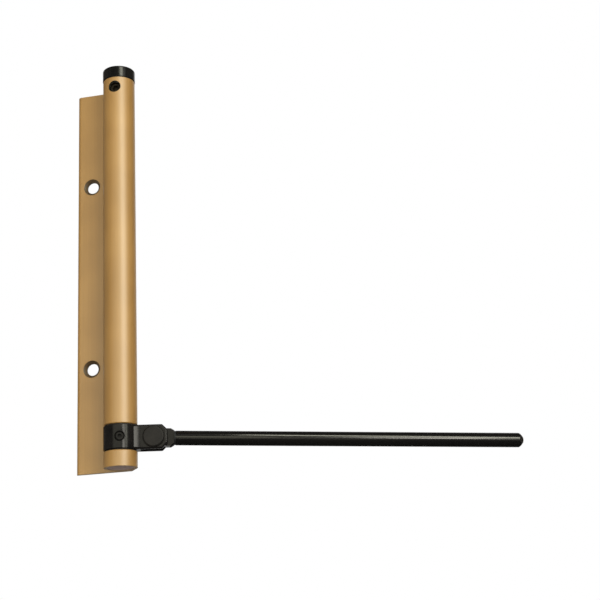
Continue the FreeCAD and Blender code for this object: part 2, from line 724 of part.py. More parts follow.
pin_hole = new_sketch(hub_bracket, "PinHoleOutline", "XZ_Plane")
circle(pin_hole, "dims.pivot_reach", hub_middle, "dims.pin_r + dims.press_gap")
pocketed(hub_bracket, pin_hole, "4 * dims.ear_half_width", "PinHole", both_ways=True)
grub_hole = new_sketch(hub_bracket, "GrubHoleOutline", "XZ_Plane")
circle(grub_hole, "0", hub_middle, "dims.grub_r + dims.press_gap")
pocketed(hub_bracket, grub_hole, "2 * dims.ring_r", "GrubHole", reverse=True)

# Set screw that ties the hub to the spindle
hub_set_screw = new_body("hub_set_screw")
on_axis(hub_set_screw)
hub_set_screw.setExpression("Placement.Base.z", hub_middle + " - dims.body_length / 2")
hub_turn = Rotation(Vector(0, 0, 1), arm_turn)
hub_set_screw.Placement.Rotation = Rotation(Vector(0, 0, 1), hub_turn.multVec(Vector(0, -1, 0)))
grub_end = "dims.ring_r - dims.grub_sunk"
grub_tip = "dims.shaft_r - dims.grub_bite + dims.run_gap"
turned(hub_set_screw, [
    ("0", grub_tip),
    ("dims.grub_r - dims.edge_bevel", grub_tip),
    ("dims.grub_r", grub_tip + " + dims.edge_bevel"),
    ("dims.grub_r", grub_end + " - dims.grub_bevel"),
    ("dims.grub_r - dims.grub_bevel", grub_end),
    ("0", grub_end),
])
grub_key = new_sketch(hub_set_screw, "GrubKeyOutline", "XY_Plane")
outline(grub_key, hex_corners("dims.grub_key_flats"))
lift(grub_key, grub_end)
pocketed(hub_set_screw, grub_key, "dims.grub_key_depth", "GrubKey")

# Pivot pin across the clevis, its head at the front
pin_turn = Rotation(Vector(0, 0, 1), hub_turn.multVec(Vector(0, 1, 0)))
pivot_pin = new_body("pivot_pin")
on_pivot(pivot_pin, pin_turn)
head_seat = "-dims.ear_half_width - dims.play"
head_face = head_seat + " - dims.pin_head_thick"
pin_clip_low = "dims.ear_half_width + dims.play"
pin_clip_high = pin_clip_low + " + dims.clip_thick"
pin_groove_r = "dims.pin_r - dims.pin_groove"
pin_end = "dims.ear_half_width + dims.pin_tail"
turned(pivot_pin, [
    ("0", head_face),
    ("dims.pin_head_r - dims.pin_rim", head_face),
    ("dims.pin_head_r", head_face + " + dims.pin_rim"),
    ("dims.pin_head_r", head_seat),
    ("dims.pin_r", head_seat),
    ("dims.pin_r", pin_clip_low + " - dims.play / 2"),
    (pin_groove_r, pin_clip_low + " - dims.play / 2"),
    (pin_groove_r, pin_clip_high + " + dims.play / 2"),
    ("dims.pin_r", pin_clip_high + " + dims.play / 2"),
    ("dims.pin_r", pin_end + " - dims.edge_bevel"),
    ("dims.pin_r - dims.edge_bevel", pin_end),
    ("0", pin_end),
])

# Washers between the knuckle and the two ears
washer_in = "dims.slot_half_width - dims.play - dims.pivot_washer_thick"
washer_out = "dims.slot_half_width - dims.play"
washer_bore = "dims.pin_r + dims.press_gap"


def pivot_washer(label, low, high):
    washer = new_body(label)
    on_pivot(washer, pin_turn)
    turned(washer, [
        (washer_bore, low),
        ("dims.pivot_washer_r", low),
        ("dims.pivot_washer_r", high),
        (washer_bore, high),
    ])
    return washer


pivot_washer("pivot_washer_front", "-(" + washer_out + ")", "-(" + washer_in + ")")
pivot_washer("pivot_washer_rear", washer_in, washer_out)

# Clip on the pin's tail behind the rear ear
pivot_clip = new_body("pivot_clip")
on_pivot(pivot_clip, pin_turn)
turned(pivot_clip, [
    (pin_groove_r + " + dims.press_gap", pin_clip_low),
    ("dims.pin_clip_r", pin_clip_low),
    ("dims.pin_clip_r", pin_clip_high),
    (pin_groove_r + " + dims.press_gap", pin_clip_high),
])
pin_clip_slot = new_sketch(pivot_clip, "PinClipMouth", "XY_Plane")
pin_mouth_corners = box_corners(
    "0", "2 * dims.pin_clip_r", "-dims.pin_clip_mouth / 2", "dims.pin_clip_mouth / 2"
)
outline(pin_clip_slot, pin_mouth_corners)
pocketed(pivot_clip, pin_clip_slot, "6 * dims.ear_half_width", "ClipMouth", both_ways=True)

# Knuckle: flat tongue with an eye, and a tapered collar with two flats that takes the rod
arm_way = hub_turn.multiply(Rotation(Vector(0, 1, 0), droop))
tongue_width = "2 * (" + washer_in + " - dims.play)"
arm_knuckle = new_body("arm_knuckle")
on_pivot(arm_knuckle, arm_way)
eye_outline = new_sketch(arm_knuckle, "EyeOutline", "XZ_Plane")
circle(eye_outline, "0", "0", "dims.eye_r")
padded(arm_knuckle, eye_outline, tongue_width, "Eye", both_ways=True)
tongue_outline = new_sketch(arm_knuckle, "TongueOutline", "XZ_Plane")
tongue_end = "dims.collar_start + dims.collar_land"
tongue_half = "(dims.collar_r - dims.ring_bevel)"
outline(tongue_outline, box_corners("0", tongue_end, "-" + tongue_half, tongue_half))
padded(arm_knuckle, tongue_outline, tongue_width, "Tongue", both_ways=True)


def turned_along(body, corners, name):
    sketch = new_sketch(body, name + "Profile", "XZ_Plane")
    outline(sketch, corners)
    solid = body.newObject("PartDesign::Revolution", name)
    solid.Profile = sketch
    solid.ReferenceAxis = (sketch, ["H_Axis"])
    solid.Angle = 360
    doc.recompute()
    return solid


turned_along(arm_knuckle, [
    ("dims.collar_start", "0"),
    ("dims.collar_start", tongue_half),
    ("dims.collar_start + dims.ring_bevel", "dims.collar_r"),
    ("dims.collar_start + dims.collar_land", "dims.collar_r"),
    ("dims.collar_end", "dims.collar_end_r"),
    ("dims.collar_end", "0"),
], "Collar")
collar_flats = new_sketch(arm_knuckle, "CollarFlats", "XY_Plane")
flat_from = "dims.collar_start - 1"
flat_to = "dims.collar_end + 1"
flat_half = "(" + washer_in + " - dims.play)"
outline(collar_flats, box_corners(flat_from, flat_to, flat_half, "2 * dims.collar_r"))
outline(collar_flats, box_corners(flat_from, flat_to, "-2 * dims.collar_r", "-" + flat_half))
pocketed(arm_knuckle, collar_flats, "4 * dims.collar_r", "CollarFlatCut", both_ways=True)
eye_hole = new_sketch(arm_knuckle, "EyeHoleOutline", "XZ_Plane")
circle(eye_hole, "0", "0", "dims.pin_r + dims.run_gap")
pocketed(arm_knuckle, eye_hole, "4 * dims.slot_half_width", "EyeHole", both_ways=True)
spigot_hole = new_sketch(arm_knuckle, "SpigotHoleOutline", "YZ_Plane")
circle(spigot_hole, "0", "0", "dims.spigot_r + dims.press_gap")
lift(spigot_hole, "dims.spigot_start")
pocketed(arm_knuckle, spigot_hole, "dims.collar_end", "SpigotHole", reverse=True)
cross_hole = new_sketch(arm_knuckle, "CrossHoleOutline", "XY_Plane")
circle(cross_hole, "dims.cross_pin_reach", "0", "dims.cross_pin_r + dims.press_gap")
pocketed(arm_knuckle, cross_hole, "4 * dims.collar_r", "CrossHole", both_ways=True)

# Rod with a spigot in the knuckle and a bevelled free end
arm_rod = new_body("arm_rod")
on_pivot(arm_rod, arm_way)
turned_along(arm_rod, [
    ("dims.spigot_start + dims.play", "0"),
    ("dims.spigot_start + dims.play", "dims.spigot_r"),
    ("dims.collar_end + dims.press_gap", "dims.spigot_r"),
    ("dims.collar_end + dims.press_gap", "dims.rod_neck_r"),
    ("dims.rod_shoulder", "dims.rod_neck_r"),
    ("dims.rod_shoulder", "dims.rod_r"),
    ("dims.rod_tip - dims.rod_tip_bevel", "dims.rod_r"),
    ("dims.rod_tip - 0.45 * dims.rod_tip_bevel", "dims.rod_r - 0.4 * dims.rod_tip_bevel"),
    ("dims.rod_tip", "dims.rod_r - dims.rod_tip_bevel"),
    ("dims.rod_tip", "0"),
], "Rod")
rod_cross_hole = new_sketch(arm_rod, "RodCrossHoleOutline", "XY_Plane")
circle(rod_cross_hole, "dims.cross_pin_reach", "0", "dims.cross_pin_r + dims.press_gap")
pocketed(arm_rod, rod_cross_hole, "4 * dims.collar_r", "RodCrossHole", both_ways=True)

# Cross pin that holds the rod's spigot in the collar
rod_cross_pin = new_body("rod_cross_pin")
on_pivot(rod_cross_pin, arm_way)
cross_section = new_sketch(rod_cross_pin, "CrossPinSection", "XY_Plane")
circle(cross_section, "dims.cross_pin_reach", "0", "dims.cross_pin_r")
padded(rod_cross_pin, cross_section, "2 * dims.cross_pin_half", "CrossPin", both_ways=True)

# Check every feature, then write one file for each piece
doc.recompute()
bodies = [item for item in doc.Objects if item.isDerivedFrom("PartDesign::Body")]
for item in doc.Objects:
    if "Invalid" in item.State or "Error" in item.State:
        raise RuntimeError(item.Name + " did not build: " + str(item.State))
for body in bodies:
    shape = body.Shape
    if shape.isNull() or not shape.isValid() or len(shape.Solids) != 1:
        raise RuntimeError(body.Label + " is not one valid solid")
    shape.exportStep("parts/" + body.Label + ".step")
    print(body.Label, round(shape.Volume, 1))
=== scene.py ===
import math

import bmesh
import bpy
from mathutils import Matrix, Vector
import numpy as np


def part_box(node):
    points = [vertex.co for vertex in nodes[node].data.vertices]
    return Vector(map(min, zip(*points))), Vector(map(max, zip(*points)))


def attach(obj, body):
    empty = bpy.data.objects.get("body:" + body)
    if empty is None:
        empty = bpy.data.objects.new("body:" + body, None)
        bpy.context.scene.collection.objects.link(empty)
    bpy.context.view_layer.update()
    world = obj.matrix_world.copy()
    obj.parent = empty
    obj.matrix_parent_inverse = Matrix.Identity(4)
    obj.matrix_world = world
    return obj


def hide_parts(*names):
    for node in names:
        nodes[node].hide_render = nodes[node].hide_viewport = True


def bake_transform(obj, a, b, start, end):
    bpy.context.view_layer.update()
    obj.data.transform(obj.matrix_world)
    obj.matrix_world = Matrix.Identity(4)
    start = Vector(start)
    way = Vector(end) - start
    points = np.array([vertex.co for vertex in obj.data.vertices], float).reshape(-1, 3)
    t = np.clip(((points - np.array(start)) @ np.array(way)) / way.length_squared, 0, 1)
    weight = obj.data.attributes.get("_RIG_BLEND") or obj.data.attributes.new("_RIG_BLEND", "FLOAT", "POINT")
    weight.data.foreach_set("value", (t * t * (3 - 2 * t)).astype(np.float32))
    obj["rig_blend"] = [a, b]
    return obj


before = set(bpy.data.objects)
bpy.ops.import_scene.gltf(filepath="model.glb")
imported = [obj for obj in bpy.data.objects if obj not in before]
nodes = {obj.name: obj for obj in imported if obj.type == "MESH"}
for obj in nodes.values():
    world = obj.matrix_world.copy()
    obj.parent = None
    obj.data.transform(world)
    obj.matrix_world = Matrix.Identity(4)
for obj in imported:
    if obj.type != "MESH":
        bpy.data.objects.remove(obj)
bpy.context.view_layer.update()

scene = bpy.context.scene
mm = 0.001  # sizes below are in millimetres
print("frame loaded:", len(nodes), "nodes")

# places that several pieces share, taken from the part's own boxes
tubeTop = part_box("body_extrusion")[1].z
washerLow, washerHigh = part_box("thrust_washer")
tubeAxis = (washerLow + washerHigh) / 2
hubLow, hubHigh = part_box("hub_bracket")
hubMiddle = (hubLow.z + hubHigh.z) / 2
hubAngle = 17.0  # degrees that the clevis points behind the flange's line
hubTurn = math.radians(hubAngle)
armDroop = math.radians(2.2)  # the rod hangs this far below level
pivotReach = 15.6 * mm  # from the tube's axis to the pivot pin
pivot = Vector((
    tubeAxis.x + pivotReach * math.cos(hubTurn),
    tubeAxis.y + pivotReach * math.sin(hubTurn),
    hubMiddle,
))
clevisPlace = Matrix.Translation(pivot) @ Matrix.Rotation(hubTurn, 4, "Z")
pinPlace = clevisPlace @ Matrix.Rotation(-math.pi / 2, 4, "X")
armPlace = clevisPlace @ Matrix.Rotation(armDroop, 4, "Y")


# an sRGB hex colour as the linear one that shaders work in
def linearColour(hexText):
    channels = [int(hexText[i:i + 2], 16) / 255 for i in (1, 3, 5)]
    linear = [c / 12.92 if c <= 0.04045 else ((c + 0.055) / 1.055) ** 2.4 for c in channels]
    return (linear[0], linear[1], linear[2], 1.0)


# adds one node; a socket goes by its name or by i and its number, and takes a value, a link or a list of links
def addNode(tree, kind, settings=None, **sockets):
    node = tree.nodes.new(kind)
    for name, value in (settings or {}).items():
        setattr(node, name, value)
    for name, value in sockets.items():
        target = node.inputs[int(name[1:])] if name[0] == "i" and name[1:].isdigit() else node.inputs[name]
        if isinstance(value, list):
            for source in value:
                tree.links.new(source, target)
        elif isinstance(value, bpy.types.NodeSocket):
            tree.links.new(value, target)
        else:
            target.default_value = value
    return node


def startMaterial(name):
    material = bpy.data.materials.new(name)
    material.use_nodes = True
    material.node_tree.nodes.clear()
    return material, material.node_tree


def rampColours(ramp, stops):
    elements = ramp.color_ramp.elements
    while len(elements) < len(stops):
        elements.new(0.5)  # its place is set below
    for element, (place, hexText) in zip(elements, stops):
        element.position = place
        element.color = linearColour(hexText)


noiseLow, noiseHigh = 0.3, 0.7  # most of a noise's values lie between these

# Holes whose walls get painted shade: the lock screw's, below the tube's top, and the two countersinks
lockHole = {"below": 5.2, "turn": 3.0, "shadeRadius": 3.16}
lockTurn = math.radians(lockHole["turn"])
lockOutward = Vector((math.sin(lockTurn), -math.cos(lockTurn), 0))
lockCentre = Vector((tubeAxis.x, tubeAxis.y, tubeTop - lockHole["below"] * mm))
sinks = {"apart": 96.0, "radius": 4.38, "front": 2.36}

# Anodised aluminium, extruded, etched and dyed gold: a satin metal under a thin clear oxide,
# with faint die lines up its length and slow drifts of the dye; painted shade darkens the lock hole's wall
# and the countersinks' cones
goldFinish = {
    "dye": [(0.30, "#9C6E2E"), (0.50, "#A57634"), (0.70, "#AE7F3C")],
    "lineWidth": 0.9,  # real die lines are near 0.1 mm, drawn coarser so that they show
    "lineLength": 90.0,
    "lineDepth": 0.02,
    "lineShare": 0.35,  # of the colour's change, the rest being drift
    "driftSize": 24.0,
    "bump": 0.06,
    "metallic": 0.22,
    "roughLow": 0.56,
    "roughHigh": 0.62,
    "gloss": 1.0,
    "sheen": "#EAFFC4",  # the film turns its own reflection a little towards yellow green
    "coat": 1.0,
    "coatRough": 0.43,
    "coatIndex": 1.76,  # alumina, the clear oxide
    # painted shade colour for the lock hole's wall
    "holeShade": "#1E1812",
    # painted shade colour for the countersinks' cones
    "sinkShade": "#54391C",
}


def makeAnodisedAluminium(finish):
    material, tree = startMaterial("goldAnodisedAluminium")
    coords = addNode(tree, "ShaderNodeTexCoord")
    across = 1 / (finish["lineWidth"] * mm)
    along = 1 / (finish["lineLength"] * mm)
    lineSpace = addNode(tree, "ShaderNodeMapping", Vector=coords.outputs["Object"], Scale=(across, across, along))
    lines = addNode(tree, "ShaderNodeTexNoise", Vector=lineSpace.outputs["Vector"], Scale=1.0, Detail=3.0)
    drift = addNode(
        tree, "ShaderNodeTexNoise", Vector=coords.outputs["Object"],
        Scale=1 / (finish["driftSize"] * mm), Detail=2.0,
    )
    blend = addNode(
        tree, "ShaderNodeMix", {"data_type": "FLOAT"},
        Factor=finish["lineShare"], i2=drift.outputs["Fac"], i3=lines.outputs["Fac"],
    )
    dye = addNode(tree, "ShaderNodeValToRGB", Fac=blend.outputs[0])
    rampColours(dye, finish["dye"])
    fromLock = addNode(
        tree, "ShaderNodeVectorMath", {"operation": "SUBTRACT"}, i0=coords.outputs["Object"], i1=lockCentre,
    )
    ahead = addNode(
        tree, "ShaderNodeVectorMath", {"operation": "DOT_PRODUCT"}, i0=fromLock.outputs[0], i1=lockOutward,
    )
    aside = addNode(
        tree, "ShaderNodeVectorMath", {"operation": "CROSS_PRODUCT"}, i0=fromLock.outputs[0], i1=lockOutward,
    )
    spread = addNode(tree, "ShaderNodeVectorMath", {"operation": "LENGTH"}, i0=aside.outputs[0])
    inHole = addNode(
        tree, "ShaderNodeMath", {"operation": "LESS_THAN"},
        i0=spread.outputs["Value"], i1=lockHole["shadeRadius"] * mm,
    )
    inFront = addNode(tree, "ShaderNodeMath", {"operation": "GREATER_THAN"}, i0=ahead.outputs["Value"], i1=0.0)
    # painted shade: this mask darkens the gold on the lock hole's wall
    lockShadeMask = addNode(
        tree, "ShaderNodeMath", {"operation": "MULTIPLY"},
        i0=inHole.outputs[0], i1=inFront.outputs[0],
    )
    withLockShade = addNode(
        tree, "ShaderNodeMix", {"data_type": "RGBA"},
        i0=lockShadeMask.outputs[0], i6=dye.outputs["Color"], i7=linearColour(finish["holeShade"]),
    )
    place = addNode(tree, "ShaderNodeSeparateXYZ", Vector=coords.outputs["Object"])
    level = addNode(tree, "ShaderNodeMath", {"operation": "ABSOLUTE"}, i0=place.outputs["Z"])
    rise = addNode(
        tree, "ShaderNodeMath", {"operation": "SUBTRACT"},
        i0=level.outputs[0], i1=sinks["apart"] / 2 * mm,
    )
    fromSink = addNode(tree, "ShaderNodeCombineXYZ", X=place.outputs["X"], Y=rise.outputs[0])
    reach = addNode(tree, "ShaderNodeVectorMath", {"operation": "LENGTH"}, i0=fromSink.outputs[0])
    inSink = addNode(
        tree, "ShaderNodeMath", {"operation": "LESS_THAN"},
        i0=reach.outputs["Value"], i1=sinks["radius"] * mm,
    )
    sunk = addNode(
        tree, "ShaderNodeMath", {"operation": "GREATER_THAN"},
        i0=place.outputs["Y"], i1=-sinks["front"] * mm,
    )
    # painted shade: this mask darkens the gold in the countersinks' cones
    sinkShadeMask = addNode(
        tree, "ShaderNodeMath", {"operation": "MULTIPLY"},
        i0=inSink.outputs[0], i1=sunk.outputs[0],
    )
    withSinkShade = addNode(
        tree, "ShaderNodeMix", {"data_type": "RGBA"},
        i0=sinkShadeMask.outputs[0], i6=withLockShade.outputs[2], i7=linearColour(finish["sinkShade"]),
    )
    rough = addNode(
        tree, "ShaderNodeMapRange", Value=lines.outputs["Fac"],
        i1=noiseLow, i2=noiseHigh, i3=finish["roughLow"], i4=finish["roughHigh"],
    )
    bump = addNode(
        tree, "ShaderNodeBump", Height=lines.outputs["Fac"],
        Strength=finish["bump"], Distance=finish["lineDepth"] * mm,
    )
    shader = addNode(
        tree, "ShaderNodeBsdfPrincipled",
        **{
            "Base Color": withSinkShade.outputs[2],
            "Roughness": rough.outputs["Result"],
            "Normal": bump.outputs["Normal"],
            "Metallic": finish["metallic"],
            "Specular IOR Level": finish["gloss"],
            "Specular Tint": linearColour(finish["sheen"]),
            "Coat Weight": finish["coat"],
            "Coat Roughness": finish["coatRough"],
            "Coat IOR": finish["coatIndex"],
        },
    )
    addNode(tree, "ShaderNodeOutputMaterial", Surface=shader.outputs["BSDF"])
    return material


evenGrain = (1.0, 1.0, 1.0)

# Black powder coat on die-cast zinc: satin black with a fine orange peel and slow drifts of tone
castFinish = {
    "name": "blackCoatedZinc",
    "gloss": 0.24,
    "colours": [(0.35, "#0F0E0E"), (0.65, "#181615")],
    "peelSize": 0.7,
    "peelDepth": 0.012,
    "roughLow": 0.19,
    "roughHigh": 0.24,
    "stretch": evenGrain,
    "bump": 0.2,
}

# Black enamel on a drawn steel rod: smoother, with faint lines along the drawing
rodFinish = {
    "name": "blackEnamelSteel",
    "gloss": 0.6,
    "colours": [(0.35, "#0C0B0B"), (0.65, "#121110")],
    "peelSize": 0.8,
    "peelDepth": 0.006,
    "roughLow": 0.16,
    "roughHigh": 0.19,
    "stretch": (40.0, 1.0, 1.0),
    "bump": 0.02,
}

# Moulded ABS of the cap: near-mirror black with a faint ripple from the mould
capFinish = {
    "name": "glossBlackAbs",
    "gloss": 0.36,
    "colours": [(0.35, "#0C0C0C"), (0.65, "#121211")],
    "peelSize": 2.5,
    "peelDepth": 0.006,
    "roughLow": 0.13,
    "roughHigh": 0.20,
    "stretch": evenGrain,
    "bump": 0.15,
}

# Black oxide on turned steel: thin, dull, a touch brown where the oil has dried
oxideFinish = {
    "name": "blackOxideSteel",
    "gloss": 0.2,
    "colours": [(0.30, "#141312"), (0.55, "#1C1A18"), (0.75, "#24211E")],
    "peelSize": 0.7,
    "peelDepth": 0.01,
    "roughLow": 0.36,
    "roughHigh": 0.50,
    "stretch": evenGrain,
    "bump": 0.25,
}

# The same, browner and with hardly a shine: painted shade for the lock screw down in its hole
shadedScrewFinish = dict(
    oxideFinish, name="shadedScrewOxideSteel", gloss=0.1,
    colours=[(0.35, "#1E1A13"), (0.65, "#2C261B")],
)

# Black nylon of the bushes and washers: matt, slightly waxy
nylonFinish = {
    "name": "blackNylon",
    "gloss": 0.3,
    "colours": [(0.35, "#1B1B1C"), (0.65, "#242425")],
    "peelSize": 0.4,
    "peelDepth": 0.015,
    "roughLow": 0.50,
    "roughHigh": 0.62,
    "stretch": evenGrain,
    "bump": 0.3,
}

# Purple-grey polypropylene of the foot plug: dull, with a fine moulded grain
plugFinish = {
    "name": "greyPolypropylene",
    "gloss": 0.4,
    "colours": [(0.35, "#836F6A"), (0.65, "#907B74")],
    "peelSize": 0.5,
    "peelDepth": 0.02,
    "roughLow": 0.48,
    "roughHigh": 0.60,
    "stretch": evenGrain,
    "bump": 0.35,
}

# what the coats share: how many times coarser the drifts of tone are than the peel, and a warm touch in the shine
coatShared = {"toneTimes": 9, "sheen": "#FFFBEE"}


def makeCoating(finish):
    material, tree = startMaterial(finish["name"])
    coords = addNode(tree, "ShaderNodeTexCoord")
    space = addNode(
        tree, "ShaderNodeMapping", {"vector_type": "TEXTURE"}, Vector=coords.outputs["Object"],
        Rotation=(0, armDroop, hubTurn), Scale=finish["stretch"],
    )
    peel = addNode(
        tree, "ShaderNodeTexNoise", Vector=space.outputs["Vector"],
        Scale=1 / (finish["peelSize"] * mm), Detail=3.0,
    )
    tone = addNode(
        tree, "ShaderNodeTexNoise", Vector=space.outputs["Vector"],
        Scale=1 / (coatShared["toneTimes"] * finish["peelSize"] * mm), Detail=4.0,
    )
    colour = addNode(tree, "ShaderNodeValToRGB", Fac=tone.outputs["Fac"])
    rampColours(colour, finish["colours"])
    rough = addNode(
        tree, "ShaderNodeMapRange", Value=tone.outputs["Fac"],
        i1=noiseLow, i2=noiseHigh, i3=finish["roughLow"], i4=finish["roughHigh"],
    )
    bump = addNode(
        tree, "ShaderNodeBump", Height=peel.outputs["Fac"],
        Strength=finish["bump"], Distance=finish["peelDepth"] * mm,
    )
    shader = addNode(
        tree, "ShaderNodeBsdfPrincipled",
        **{
            "Base Color": colour.outputs["Color"],
            "Roughness": rough.outputs["Result"],
            "Normal": bump.outputs["Normal"],
            "Specular IOR Level": finish["gloss"],
            "Specular Tint": linearColour(coatShared["sheen"]),
        },
    )
    addNode(tree, "ShaderNodeOutputMaterial", Surface=shader.outputs["BSDF"])
    return material


# Ground steel of the spindle and adjuster: bright, with fine rings left by the grinding wheel
groundFinish = {
    "name": "groundSteel",
    "colours": [(0.3, "#A9A8A4"), (0.7, "#BCBBB7")],
    "ringWidth": 0.5,
    "rough": (0.22, 0.34),
}
# Oil-tempered spring wire: blue-grey, with lines left by the drawing
springFinish = {
    "name": "temperedSpringSteel",
    "colours": [(0.3, "#4C4D52"), (0.7, "#62636A")],
    "ringWidth": 0.7,
    "rough": (0.32, 0.46),
}
# what both share: how far a line runs for its width, its depth, and how strongly it shows
steelLines = {"runs": 12, "depth": 0.01, "bump": 0.12}


def makeBareSteel(finish):
    material, tree = startMaterial(finish["name"])
    coords = addNode(tree, "ShaderNodeTexCoord")
    fine = 1 / (finish["ringWidth"] * mm)
    coarse = fine / steelLines["runs"]
    space = addNode(tree, "ShaderNodeMapping", Vector=coords.outputs["Object"], Scale=(coarse, coarse, fine))
    rings = addNode(tree, "ShaderNodeTexNoise", Vector=space.outputs["Vector"], Scale=1.0, Detail=3.0)
    colour = addNode(tree, "ShaderNodeValToRGB", Fac=rings.outputs["Fac"])
    rampColours(colour, finish["colours"])
    low, high = finish["rough"]
    rough = addNode(
        tree, "ShaderNodeMapRange", Value=rings.outputs["Fac"],
        i1=noiseLow, i2=noiseHigh, i3=low, i4=high,
    )
    bump = addNode(
        tree, "ShaderNodeBump", Height=rings.outputs["Fac"],
        Strength=steelLines["bump"], Distance=steelLines["depth"] * mm,
    )
    shader = addNode(
        tree, "ShaderNodeBsdfPrincipled",
        **{
            "Base Color": colour.outputs["Color"],
            "Roughness": rough.outputs["Result"],
            "Normal": bump.outputs["Normal"],
            "Metallic": 1.0,
        },
    )
    addNode(tree, "ShaderNodeOutputMaterial", Surface=shader.outputs["BSDF"])
    return material


goldAnodised = makeAnodisedAluminium(goldFinish)
castBlack = makeCoating(castFinish)
rodBlack = makeCoating(rodFinish)
capBlack = makeCoating(capFinish)
oxideBlack = makeCoating(oxideFinish)
shadedScrewBlack = makeCoating(shadedScrewFinish)
nylonBlack = makeCoating(nylonFinish)
plugGrey = makeCoating(plugFinish)
groundSteel = makeBareSteel(groundFinish)
springSteel = makeBareSteel(springFinish)
print("materials made:", len(bpy.data.materials))


def linkMesh(name, mesh, material):
    mesh.materials.clear()
    mesh.materials.append(material)
    piece = bpy.data.objects.new(name, mesh)
    scene.collection.objects.link(piece)
    return piece


def bakeModifiers(piece):
    depsgraph = bpy.context.evaluated_depsgraph_get()
    mesh = bpy.data.meshes.new_from_object(piece.evaluated_get(depsgraph), depsgraph=depsgraph)
    old = piece.data
    piece.modifiers.clear()
    piece.data = mesh
    bpy.data.meshes.remove(old)
    mesh.name = piece.name


sharpFrom = 32  # degrees; edges bent further than this stay sharp to the eye


def smoothFaces(piece, sharpAngle=sharpFrom):
    piece.data.shade_smooth()
    piece.data.set_sharp_from_angle(angle=math.radians(sharpAngle))


# points this near, in metres, become one, and faces bent less than this many degrees become one flat
seams = {"merge": 1e-6, "ringMerge": 1e-7, "flatWithin": 0.4}


# a merged copy of a CAD node with its hard edges broken, as a real edge is
def softenedCopy(name, nodeName, material, edge):
    mesh = nodes[nodeName].data.copy()
    work = bmesh.new()
    work.from_mesh(mesh)
    bmesh.ops.remove_doubles(work, verts=work.verts, dist=seams["merge"])
    bmesh.ops.dissolve_limit(
        work, angle_limit=math.radians(seams["flatWithin"]), verts=work.verts[:], edges=work.edges[:],
    )
    work.to_mesh(mesh)
    work.free()
    for attribute in [a for a in mesh.attributes if a.name == "custom_normal"]:
        mesh.attributes.remove(attribute)
    piece = linkMesh(name, mesh, material)
    bevel = piece.modifiers.new("brokenEdge", "BEVEL")
    bevel.width = edge["width"] * mm
    bevel.segments = edge["steps"]
    bevel.limit_method = "ANGLE"
    bevel.angle_limit = math.radians(edge["from"])
    bevel.use_clamp_overlap = True
    bakeModifiers(piece)
    smoothFaces(piece)
    # large flat faces set the normals at their borders, so they stay flat to the eye
    weighted = piece.modifiers.new("flatFaces", "WEIGHTED_NORMAL")
    weighted.mode = "FACE_AREA"
    weighted.weight = 100
    weighted.keep_sharp = True
    bakeModifiers(piece)
    return piece


# a turned piece: radius and height pairs in mm, spun about the local Z axis
def turnedPiece(name, profile, place, material, steps):
    mesh = bpy.data.meshes.new(name)
    work = bmesh.new()
    rings = []
    for radius, height in profile:
        if radius == 0:
            rings.append([work.verts.new((0, 0, height * mm))])
            continue
        ring = []
        for i in range(steps):
            angle = 2 * math.pi * i / steps
            across, deep = radius * mm * math.cos(angle), radius * mm * math.sin(angle)
            ring.append(work.verts.new((across, deep, height * mm)))
        rings.append(ring)
    for low, high in zip(rings, rings[1:]):
        for i in range(steps):
            j = (i + 1) % steps
            if len(low) == 1:
                work.faces.new((low[0], high[j], high[i]))
            elif len(high) == 1:
                work.faces.new((low[i], low[j], high[0]))
            else:
                work.faces.new((low[i], low[j], high[j], high[i]))
    bmesh.ops.remove_doubles(work, verts=work.verts, dist=seams["ringMerge"])
    bmesh.ops.recalc_face_normals(work, faces=work.faces)
    work.to_mesh(mesh)
    work.free()
    mesh.transform(place)
    piece = linkMesh(name, mesh, material)
    smoothFaces(piece)
    return piece


def dress(piece, body, slotName, *nodeNames):
    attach(piece, body)
    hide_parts(*nodeNames)


# Body: tube and flange
tubeEdge = {"width": 0.18, "steps": 2, "from": 24}
tubeBody = softenedCopy("tubeBody", "body_extrusion", goldAnodised, tubeEdge)
dress(tubeBody, "housing", "gold_anodised", "body_extrusion")

# Hub casting and the knuckle
castEdge = {"width": 0.22, "steps": 3, "from": 35}
hubCasting = softenedCopy("hubCasting", "hub_bracket", castBlack, castEdge)
dress(hubCasting, "hub", "black_paint", "hub_bracket")
knuckleCasting = softenedCopy("knuckleCasting", "arm_knuckle", castBlack, castEdge)
dress(knuckleCasting, "arm", "black_paint", "arm_knuckle")

# Cap on the top end
capEdge = {"width": 0.2, "steps": 3, "from": 30}
capShell = softenedCopy("capShell", "tension_cap", capBlack, capEdge)
dress(capShell, "adjuster", "black_gloss", "tension_cap")
print("castings, extrusion and cap made")

# Rod: a domed free end, a shoulder and a spigot in the knuckle
rodShape = {
    "steps": 72,
    "profile": [
        (0, 5.26), (1.5, 5.26), (1.7, 5.46), (1.7, 9.73), (3.0, 9.75), (3.0, 10.4), (3.4, 10.4), (3.47, 10.43),
        (3.5, 10.5), (3.5, 60), (3.5, 120), (3.5, 175.5), (3.46, 175.75), (3.3, 176.1), (2.75, 176.78),
        (2.45, 177.05), (1.75, 177.6), (1.5, 177.78), (1.2, 177.87), (0.9, 177.9), (0, 177.9),
    ],
}
alongArm = armPlace @ Matrix.Rotation(math.pi / 2, 4, "Y")
rodDrawn = turnedPiece("rodDrawn", rodShape["profile"], alongArm, rodBlack, rodShape["steps"])
dress(rodDrawn, "arm", "black_paint", "arm_rod")

# Rod neck: a dull black ring between the knuckle and the rod, painted shade for the shadowed groove
neckShadeShape = {
    "steps": 72,
    "profile": [
        (3.0, 9.73), (3.3, 9.73), (3.36, 9.79), (3.36, 10.34), (3.3, 10.4),
        (3.0, 10.4), (2.9, 10.36), (2.9, 9.77), (3.0, 9.73),
    ],
}
neckShadeRing = turnedPiece("neckShadeRing", neckShadeShape["profile"], alongArm, nylonBlack, neckShadeShape["steps"])
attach(neckShadeRing, "arm")

